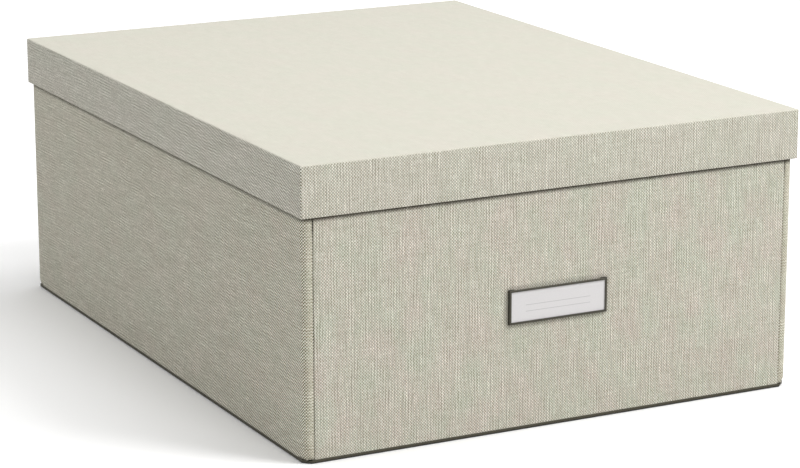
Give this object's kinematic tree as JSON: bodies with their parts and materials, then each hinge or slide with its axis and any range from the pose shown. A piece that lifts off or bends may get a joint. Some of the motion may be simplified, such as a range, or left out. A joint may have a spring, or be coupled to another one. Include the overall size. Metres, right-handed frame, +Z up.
{
  "type": "storage box",
  "caption": "Canvas-covered fibreboard storage box with a lift-off lid, and a metal label frame with a loose card on the front.",
  "frame": {"origin": "on the ground, under the middle of the box", "axes": "+Z up; the label is on the -Y side; +Y runs along the box's length; +X is to the right, seen from the label side"},
  "size_m": [0.35, 0.4614, 0.184],
  "materials": {
    "canvas": "matte woven canvas",
    "fibreboard": "matte grey board",
    "lining_paper": "matte",
    "base_paper": "matte",
    "snap_metal": "satin",
    "frame_metal": "satin dark pewter",
    "card_paper": "smooth matte"
  },
  "bodies": {
    "tray": {"base_board": "fibreboard", "front_wall_board": "fibreboard", "rear_wall_board": "fibreboard", "left_wall_board": "fibreboard", "right_wall_board": "fibreboard", "left_front_flap_board": "fibreboard", "left_rear_flap_board": "fibreboard", "right_front_flap_board": "fibreboard", "right_rear_flap_board": "fibreboard", "front_cover": "canvas", "rear_cover": "canvas", "left_side_cover": "canvas", "right_side_cover": "canvas", "floor_liner": "lining_paper", "front_wall_liner": "lining_paper", "rear_wall_liner": "lining_paper", "left_side_liner": "lining_paper", "right_side_liner": "lining_paper", "snap_caps": "snap_metal", "snap_springs": "snap_metal", "snap_posts": "snap_metal", "base_cover": "base_paper", "label_frame": "frame_metal"},
    "lid": {"lid_top_board": "fibreboard", "lid_front_rim_board": "fibreboard", "lid_rear_rim_board": "fibreboard", "lid_left_rim_board": "fibreboard", "lid_right_rim_board": "fibreboard", "lid_cover": "canvas", "lid_liner": "lining_paper"},
    "card": {"label_card": "card_paper"}
  },
  "joints": [
    {"name": "lid_lift", "type": "slide", "parent": "tray", "child": "lid", "axis": [0, 0, 1], "range_m": [0, 0.2]},
    {"name": "label_card_slide", "type": "slide", "parent": "tray", "child": "card", "axis": [0, 0, 1], "range_m": [0, 0.024]}
  ]
}
